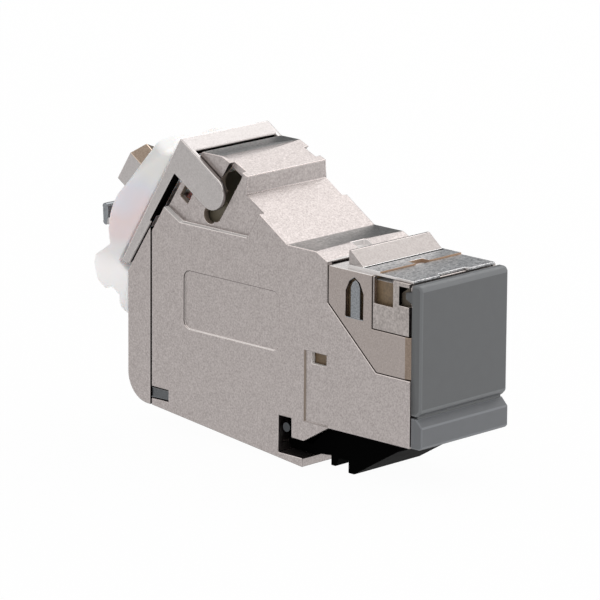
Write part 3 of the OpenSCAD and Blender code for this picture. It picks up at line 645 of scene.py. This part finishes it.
# %% Patch helpers
FAR = 1000.0
UP = Vector((0, 0, 1))
REARWARD = Vector((0, 1, 0))
FORWARD = -REARWARD
SIDEWAYS = Vector((1, 0, 0))


def zone(x=(-1, FAR), y=(-FAR, FAR), z=(-FAR, FAR), facing=()):
    def wanted(at, out):
        if not (x[0] < abs(at.x) < x[1] and y[0] < at.y < y[1] and z[0] < at.z < z[1]):
            return False
        mirrored = Vector((abs(out.x), out.y, out.z))
        return all(mirrored.dot(direction) > least for direction, least in facing)
    return wanted


def dress_faces(piece, finish, *zones):
    finishes = piece.data.materials
    if finish.name not in finishes:
        finishes.append(finish)
    index = finishes.find(finish.name)
    chosen = [face for face in piece.data.polygons
              if any(wanted(face.center / MM, face.normal) for wanted in zones)]
    for face in chosen:
        face.material_index = index
    print(piece.name, "has", len(chosen), "faces in", finish.name)


def cut_faces(piece, place_mm, direction):
    shape = bmesh.new()
    shape.from_mesh(piece.data)
    bmesh.ops.bisect_plane(shape, geom=shape.verts[:] + shape.edges[:] + shape.faces[:],
                           plane_co=Vector(place_mm) * MM, plane_no=direction, dist=MERGE)
    shape.to_mesh(piece.data)
    shape.free()


def mark_edges(piece, mark, level, *zones):
    edge_strip = piece.data.attributes["edge_strip"].data
    marks = piece.data.attributes[mark].data
    chosen = [face.index for face in piece.data.polygons if edge_strip[face.index].value > 0
              and any(wanted(face.center / MM, face.normal) for wanted in zones)]
    for index in chosen:
        marks[index].value = level
    print(piece.name, "has", len(chosen), "edge faces with", mark, level)


print("patch helpers ready")

# %% [markdown]
# ## Metal body
# The castings get a radius of about a tenth of a millimetre and the thin sheet half of that.
# A smaller radius would vanish in the picture, a larger one would make them look like soap.

# %% Castings and sheet
housing = rounded_piece("housing_casting", "main_housing", 0.09, cast_nickel)
front = rounded_piece("front_casting", "front_shell", 0.07, shell_nickel)
rear = rounded_piece("rear_casting", "rear_cover", 0.10, cast_nickel)
bail = rounded_piece("bail_casting", "bail", 0.17, bail_nickel, steps=3)
shield = rounded_piece("shield_sheet", "shield_frame", 0.06, frame_nickel)
spring = rounded_piece("spring_sheet", "panel_spring", 0.05, sheet_nickel)
clamp = rounded_piece("clamp_sheet", "cable_clamp", 0.09, bail_nickel)
rounded_piece("pair_cross", "pair_separator", 0.06, frame_nickel)
rounded_piece("hinge_pin", "latch_pin", 0.08, pin_steel)

# %% [markdown]
# ### Patches of painted shade and light, and others
# Small areas differ from the plating round them. The front edge of the shell, the sleeve of the
# clamp and the hook of the rear cover carry brown or dark painted shade, the spring tongues are
# blued, and the ramp on top is smoother than its sheet. The level deck and crown mirror the dark
# side of the room and carry a painted dark reflection in small clouds as well. The walls of the
# arm slot carry brown painted shade, and the ledge beside it a pale painted light.

# %% Patches on the small metal parts
TILT = math.radians(32.5)
SLEEVE_UP = Vector((0, -math.sin(TILT), math.cos(TILT)))
RAMP_LOW = 19.43
TONGUE = zone(y=(7.95, 9.55), z=(13.45, 18.0))
SHELL_EDGE = zone(x=(5, FAR), y=(-FAR, 0.95))
RAMP = zone(z=(RAMP_LOW, FAR))
SLEEVE = zone(z=(22, FAR), facing=((SLEEVE_UP, 0.5), (SIDEWAYS, 0.1)))
CLAMP_TONGUE = zone(y=(53.2, FAR))
REAR_HOOK = zone(y=(-FAR, 41.2))
# The warm, brown and dark steel patches here are painted shade.
dress_faces(front, blue_steel, TONGUE)
dress_faces(front, warm_painted_shade, SHELL_EDGE)
dress_faces(spring, wedge_nickel, RAMP)
dress_faces(clamp, clamp_painted_shade, SLEEVE)
dress_faces(clamp, blue_steel, CLAMP_TONGUE)
dress_faces(rear, dark_painted_shade, REAR_HOOK)

# %% Patches on the housing
DECK = zone(y=(15.1, 19.0), z=(20.1, 20.3), facing=((UP, 0.97),))
CROWN = zone(z=(27, FAR), facing=((UP, 0.97),))
ARM_SLOT = zone(x=(5.6, 6.48), y=(27.2, 37.5), z=(20.2, 26.5), facing=((-SIDEWAYS, -0.5),))
LEDGE = zone(x=(6.55, FAR), y=(25.3, 41.05), z=(18.0, 21.5), facing=((UP, 0.5),))
PLATEAU_EDGE = zone(y=(26.2, 26.4), z=(24.5, 26.7))
SLOPE_FOOT = zone(y=(18.9, 19.4), z=(20.1, 20.4))
# Painted dark reflection on the deck and crown, brown painted shade in the arm slot and pale painted light
# on the ledge.
dress_faces(housing, painted_reflection_nickel, DECK, CROWN)
dress_faces(housing, brown_painted_shade, ARM_SLOT)
dress_faces(housing, pale_painted_light, LEDGE)
# A set painted highlight on the plateau's edge, and no edge strip, so no painted edge light, at the foot
# of the slope.
mark_edges(housing, "painted_light", 0.55, PLATEAU_EDGE)
mark_edges(housing, "edge_strip", 0.0, SLOPE_FOOT)

# %% [markdown]
# ### Black painted shade in the joints
# Two parts that meet leave a gap of a tenth of a millimetre, and hardly any light comes back
# out of it. The faces that form the gaps at the back get black painted shade. The bail's inner
# face is cut first, because below the hinge its outer rim gets a pale painted light instead.

# %% Black joints
BAIL_IN = Vector((0, -math.cos(TILT), -math.sin(TILT)))
GAP_END = 41.4
RIM_X = 6.85
BAR_LOW = 27.5
MOUTH_RIM = zone(y=(41.02, FAR), z=(-FAR, 18.3), facing=((REARWARD, 0.5),))
REAR_RIM = zone(y=(41.2, 41.33))
ARM_GAP = zone(y=(36, GAP_END), facing=((BAIL_IN, 0.5),))
BAR_GAP = zone(z=(BAR_LOW, FAR), facing=((BAIL_IN, 0.98),))
FRAME_GAP = zone(y=(GAP_END, FAR), facing=((BAIL_IN, 0.98),))
FRAME_RIM = zone(x=(RIM_X, FAR), y=(GAP_END, FAR), facing=((BAIL_IN, 0.8),))
FRAME_EDGE = zone(y=(GAP_END, FAR), facing=((BAIL_IN, 0.3), (-BAIL_IN, -0.95), (SIDEWAYS, 0.3)))
BAR_EDGE = zone(z=(BAR_LOW, FAR), facing=((FORWARD, 0.5), (-BAIL_IN, -0.98)))
cut_faces(bail, (0, GAP_END, 0), REARWARD)
for side in (-RIM_X, RIM_X):
    cut_faces(bail, (side, 0, 0), SIDEWAYS)
dress_faces(housing, black_painted_shade, MOUTH_RIM)
dress_faces(rear, black_painted_shade, REAR_RIM)
dress_faces(bail, black_painted_shade, ARM_GAP, BAR_GAP, FRAME_GAP)
dress_faces(bail, pale_painted_light, FRAME_RIM)
# These edges of the bail lose their edge strip, and with it the painted edge light.
mark_edges(bail, "edge_strip", 0.0, FRAME_EDGE, BAR_EDGE)

# %% [markdown]
# ## Plastic parts
# The dust cover and its foot are one grey moulding with a film hinge between them. The foot's
# grey is painted a little lighter, as painted light on it.
# The latch is black, and the parts inside the port are brown, with a green circuit board.

# %% Mouldings
rounded_piece("cover_leaf", "cover_flap", 0.28, grey_plastic, steps=4)
rounded_piece("cover_foot", "cover_base", 0.14, foot_grey_painted_light, steps=3)
rounded_piece("latch_moulding", "panel_latch", 0.10, black_plastic)
carrier = rounded_piece("carrier_moulding", "contact_carrier", 0.05, carrier_plastic)
rounded_piece("block_moulding", "terminal_block", 0.08, block_plastic)
rounded_piece("circuit_board_cut", "circuit_board", 0.04, board_green)

# %% [markdown]
# ### Small recesses at the front
# The windows near the front show what lies behind the casing: brown plastic, partly painted
# shade, in the first, with brown painted shade on the wall above it, and black painted shade in
# the pocket for the cover's hook in the second. The notch behind the ramp, the top of the carrier
# and of the shell, and the side of the sheet on it get a pale painted light.
# The sheet has black painted shade where the ramp rises from it, and is brown at its step and
# in its slot.

# %% Windows
POCKET_END = 3.0
CARRIER_TOP = zone(z=(18.2, FAR), facing=((UP, 0.5),))
WINDOW_BACK = zone(x=(6.3, FAR), y=(POCKET_END, FAR), facing=((SIDEWAYS, 0.5),))
HOOK_POCKET = zone(x=(6.2, FAR), y=(-FAR, POCKET_END), z=(15.5, FAR))
POCKET_WALL = zone(x=(6.5, FAR), y=(1.8, 2.0), facing=((FORWARD, 0.5),))
WINDOW_WALL = zone(y=(6.0, 6.1), z=(18.3, FAR), facing=((FORWARD, 0.5),))
SHELL_TOP = zone(z=(18.85, FAR), facing=((UP, 0.9),))
cut_faces(carrier, (0, POCKET_END, 0), REARWARD)
# Pale painted light on the carrier's top and the shell's top, brown and black painted shade in the
# windows.
dress_faces(carrier, pale_painted_light, CARRIER_TOP)
dress_faces(carrier, pocket_brown_and_shade, WINDOW_BACK)
dress_faces(carrier, black_painted_shade, HOOK_POCKET)
dress_faces(shield, black_painted_shade, POCKET_WALL)
# Brown painted shade on the wall above the first window.
dress_faces(front, pocket_brown_and_shade, WINDOW_WALL)
dress_faces(front, pale_painted_light, SHELL_TOP)

# %% Sheet and notch
RAMP_FOOT = 7.6
SHEET_TOP = 19.42
NOTCH = {"x": (-1, 1.2), "y": (12.9, 15.2)}
NOTCH_LOW = 19.3
NOTCH_FLOOR = 19.6
NOTCH_HIGH = 20.18
SHEET_SIDE = zone(z=(-FAR, RAMP_LOW), facing=((SIDEWAYS, 0.9),))
NOTCH_BACK = zone(**NOTCH, z=(NOTCH_LOW, NOTCH_HIGH), facing=((FORWARD, 0.9),))
NOTCH_SIDES = zone(**NOTCH, z=(NOTCH_LOW, NOTCH_HIGH), facing=((SIDEWAYS, 0.5),))
NOTCH_BASE = zone(**NOTCH, z=(NOTCH_LOW, NOTCH_FLOOR))
RAMP_LINE = zone(y=(RAMP_FOOT, 7.97), z=(19.3, 19.45), facing=((UP, 0.5),))
SHEET_STEP = zone(y=(5.1, 5.3), z=(19.15, SHEET_TOP), facing=((FORWARD, 0.3),))
SHEET_SLOT = zone(x=(-1, 1.6), y=(5.3, 6.5), z=(-FAR, SHEET_TOP), facing=((-UP, -0.5),))
cut_faces(spring, (0, RAMP_FOOT, 0), REARWARD)
dress_faces(spring, pale_painted_light, SHEET_SIDE)
dress_faces(housing, pale_painted_light, NOTCH_BACK, NOTCH_SIDES, NOTCH_BASE)
dress_faces(spring, black_painted_shade, RAMP_LINE)
dress_faces(spring, step_brown, SHEET_STEP, SHEET_SLOT)

# %% [markdown]
# ### Steps in the side
# The side has a shallow recess with round corners, and nearer the front a lower panel with a
# small window. Along both, the rear edges get black or brown painted shade and the lower edge of
# the recess a pale painted light, as do the sill and the rear wall of the window. The top edge of
# the recess and the sill of the panel get set levels of painted edge light. The other edges
# hardly show.

# %% Steps in the side
STEP_X = (6.9, FAR)
RECESS_REAR = zone(x=(7.11, 7.23), y=(34.7, 36), z=(7, 18), facing=((FORWARD, 0.3), (-UP, -0.6)))
RECESS_SILL = zone(STEP_X, y=(20.3, 35.2), z=(7.2, 8.5), facing=((UP, 0.4),))
RECESS_LINTEL = zone(STEP_X, y=(20, 36), z=(12, 18), facing=((-UP, 0.4),))
PANEL_REAR = zone(STEP_X, y=(16, 16.5), z=(0, 8.5), facing=((FORWARD, 0.3),))
PANEL_SILL = zone(STEP_X, y=(12.6, 16.3), z=(-FAR, 0.4), facing=((UP, 0.3),))
SIDE_WINDOW = {"x": (6.0, FAR), "y": (13, 15.5), "z": (6.9, 8.4)}
WINDOW_SILL = zone(**SIDE_WINDOW, facing=((UP, 0.5),))
WINDOW_REAR = zone(**SIDE_WINDOW, facing=((FORWARD, 0.5),))
# Painted shade on the rear edges, pale painted light on the sills, and set levels of painted edge light.
dress_faces(housing, black_painted_shade, RECESS_REAR)
dress_faces(housing, brown_painted_shade, PANEL_REAR)
dress_faces(housing, pale_painted_light, RECESS_SILL, WINDOW_SILL, WINDOW_REAR)
mark_edges(housing, "painted_light", 0.22, RECESS_LINTEL)
mark_edges(housing, "painted_light", 0.45, PANEL_SILL)

# %% [markdown]
# ## The cap's moulding
# The dome is a smooth curved shell, and its solid is made of flat facets.
# A voxel remesh lays an even skin over it, and a few rounds of smoothing take the facets
# out and leave every corner with the soft radius of a moulding. Where the cap closes the gap
# beside the bail's arm, it gets black painted shade like the rest of the gap.

# %% Smooth cap
VOXEL_MM = 0.14
SMOOTH_ROUNDS = 8
PIVOT = Vector((0, 31.5, 24.2))
GAP_DEPTH = 6.8
CAP_RIM = zone(x=(5.5, FAR), y=(-FAR, GAP_END), facing=((BAIL_IN, 0.5),))


def baked(piece):
    bpy.context.view_layer.update()
    graph = bpy.context.evaluated_depsgraph_get()
    return bpy.data.meshes.new_from_object(piece.evaluated_get(graph))


def smooth_moulding(node, voxel_mm, rounds):
    shape = merged_copy(node)
    mesh = bpy.data.meshes.new(node + "_rough")
    shape.to_mesh(mesh)
    shape.free()
    rough = bpy.data.objects.new(node + "_rough", mesh)
    scene.collection.objects.link(rough)
    skin = rough.modifiers.new("skin", "REMESH")
    skin.mode = "VOXEL"
    skin.voxel_size = voxel_mm * MM
    relax = rough.modifiers.new("relax", "SMOOTH")
    relax.factor = 0.5
    relax.iterations = rounds
    result = baked(rough)
    bpy.data.objects.remove(rough)
    result.polygons.foreach_set("use_smooth", [True] * len(result.polygons))
    return result


def in_cap_gap(at, out):
    return CAP_RIM(at, out) and (PIVOT - at).dot(BAIL_IN) < GAP_DEPTH


cap = finish_piece("cap_moulding", smooth_moulding("wire_cap", VOXEL_MM, SMOOTH_ROUNDS), milky_plastic,
                   ["wire_cap"], flat_normals=False)
# Black painted shade on the cap where it closes the gap.
dress_faces(cap, black_painted_shade, in_cap_gap)
print("cap faces:", len(cap.data.polygons))

# %% [markdown]
# ## Film hinge
# The cover folds at a strip of the same grey plastic, about an eighth of a millimetre thick,
# at the bottom of the groove.

# %% Film hinge strip
HINGE_Y = -0.9
HINGE_HALF = 6.9


def film_strip(rows=14, thickness=0.12, low=3.45, high=3.95):
    outline = ((-HINGE_HALF, HINGE_Y), (HINGE_HALF, HINGE_Y),
               (HINGE_HALF, HINGE_Y + thickness), (-HINGE_HALF, HINGE_Y + thickness))
    shape = bmesh.new()
    rings = []
    for row in range(rows + 1):
        z = low + (high - low) * row / rows
        rings.append([shape.verts.new((x * MM, y * MM, z * MM)) for x, y in outline])
    for lower, upper in zip(rings, rings[1:]):
        for k in range(len(outline)):
            j = (k + 1) % len(outline)
            shape.faces.new((lower[k], lower[j], upper[j], upper[k]))
    shape.faces.new(rings[0][::-1])
    shape.faces.new(rings[-1])
    bmesh.ops.recalc_face_normals(shape, faces=shape.faces)
    mesh = bpy.data.meshes.new("film_hinge")
    shape.to_mesh(mesh)
    shape.free()
    mesh.materials.append(grey_plastic)
    piece = bpy.data.objects.new("film_hinge", mesh)
    scene.collection.objects.link(piece)
    return piece


film = film_strip()
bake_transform(film)
print("film hinge:", len(film.data.polygons), "faces")

# %% [markdown]
# ## Contact springs
# Eight gold-plated wires run along the roof of the port and bend back into it.
# One path, a round profile and a row of copies at a fixed pitch describe them all, which is
# what Geometry Nodes are for. The tree has the pitch, count, wire size and bend as inputs.
# Two bends that meet on a short stretch leave points in the same place, which are merged.

# %% Wire maker
CONTACTS = 8
PITCH = 1.02
WIRE_RADIUS = 0.2
BEND_RADIUS = 0.4
BEND_STEPS = 1
WIRE_SIDES = 10


def wire_row_tree():
    tree = bpy.data.node_groups.new("wire_row", "GeometryNodeTree")
    interface = tree.interface
    interface.new_socket("Path", in_out="INPUT", socket_type="NodeSocketGeometry")
    for name, size in (("Pitch", PITCH), ("Wire radius", WIRE_RADIUS), ("Bend radius", BEND_RADIUS)):
        interface.new_socket(name, in_out="INPUT", socket_type="NodeSocketFloat").default_value = size * MM
    interface.new_socket("Count", in_out="INPUT", socket_type="NodeSocketInt").default_value = CONTACTS
    interface.new_socket("Finish", in_out="INPUT", socket_type="NodeSocketMaterial")
    interface.new_socket("Wires", in_out="OUTPUT", socket_type="NodeSocketGeometry")
    given = tree.nodes.new("NodeGroupInput").outputs
    path = add_node(tree, "GeometryNodeMeshToCurve", Mesh=given["Path"]).outputs["Curve"]
    bent = add_node(tree, "GeometryNodeFilletCurve", {"mode": "POLY"}, Curve=path, Count=BEND_STEPS,
                    Radius=given["Bend radius"], Limit_Radius=True).outputs["Curve"]
    ring = add_node(tree, "GeometryNodeCurvePrimitiveCircle", Resolution=WIRE_SIDES,
                    Radius=given["Wire radius"]).outputs["Curve"]
    wire = add_node(tree, "GeometryNodeCurveToMesh", Curve=bent, Profile_Curve=ring,
                    Fill_Caps=True).outputs["Mesh"]
    step = add_node(tree, "ShaderNodeCombineXYZ", X=given["Pitch"]).outputs[0]
    row = add_node(tree, "GeometryNodeMeshLine", Count=given["Count"], Offset=step).outputs["Mesh"]
    copies = add_node(tree, "GeometryNodeInstanceOnPoints", Points=row, Instance=wire)
    whole = add_node(tree, "GeometryNodeRealizeInstances", Geometry=copies.outputs["Instances"])
    joined = add_node(tree, "GeometryNodeMergeByDistance", Geometry=whole.outputs["Geometry"],
                      Distance=MERGE)
    smooth = add_node(tree, "GeometryNodeSetShadeSmooth", Geometry=joined.outputs["Geometry"])
    dressed = add_node(tree, "GeometryNodeSetMaterial", Geometry=smooth.outputs["Geometry"],
                       Material=given["Finish"])
    done = tree.nodes.new("NodeGroupOutput")
    tree.links.new(dressed.outputs["Geometry"], done.inputs["Wires"])
    return tree


print("wire maker ready")

# %% Contact wires
WIRE_REAR = (12.95, 14.27)
WIRE_FRONT = (3.45, 14.27)
WIRE_TURN = (3.3, 13.85)
WIRE_TIP = (10.2, 11.62)


def wire_row(name, points_mm, finish, count, pitch_mm):
    mesh = bpy.data.meshes.new(name)
    mesh.from_pydata([tuple(v * MM for v in p) for p in points_mm],
                     [(k, k + 1) for k in range(len(points_mm) - 1)], [])
    maker = bpy.data.objects.new(name + "_path", mesh)
    scene.collection.objects.link(maker)
    tree = wire_row_tree()
    steps = maker.modifiers.new("wires", "NODES")
    steps.node_group = tree
    wanted = {"Pitch": pitch_mm * MM, "Count": count, "Finish": finish}
    for socket in tree.interface.items_tree:
        if socket.in_out == "INPUT" and socket.name in wanted:
            steps[socket.identifier] = wanted[socket.name]
    result = baked(maker)
    bpy.data.objects.remove(maker)
    return result


first_x = -(CONTACTS - 1) / 2 * PITCH
spring_path = [(first_x, y, z) for y, z in (WIRE_REAR, WIRE_FRONT, WIRE_TURN, WIRE_TIP)]
contact_mesh = wire_row("contact_wires", spring_path, contact_gold, CONTACTS, PITCH)
contacts = finish_piece("contact_wires", contact_mesh, contact_gold,
                        [f"plug_contact_{k}" for k in range(1, CONTACTS + 1)],
                        flat_normals=False)
print("contact wires:", len(contacts.data.polygons), "faces")

# %% [markdown]
# ## Terminal forks
# Behind the cap, eight tinned forks cut into the wires. Each keeps its own solid, because
# the forks stand on a slope, and each only needs its edges rounded.

# %% Forks
forks = [rounded_piece(f"fork_{k}", f"terminal_{k}", 0.03, fork_tin)
         for k in range(1, CONTACTS + 1)]
print("forks:", len(forks))
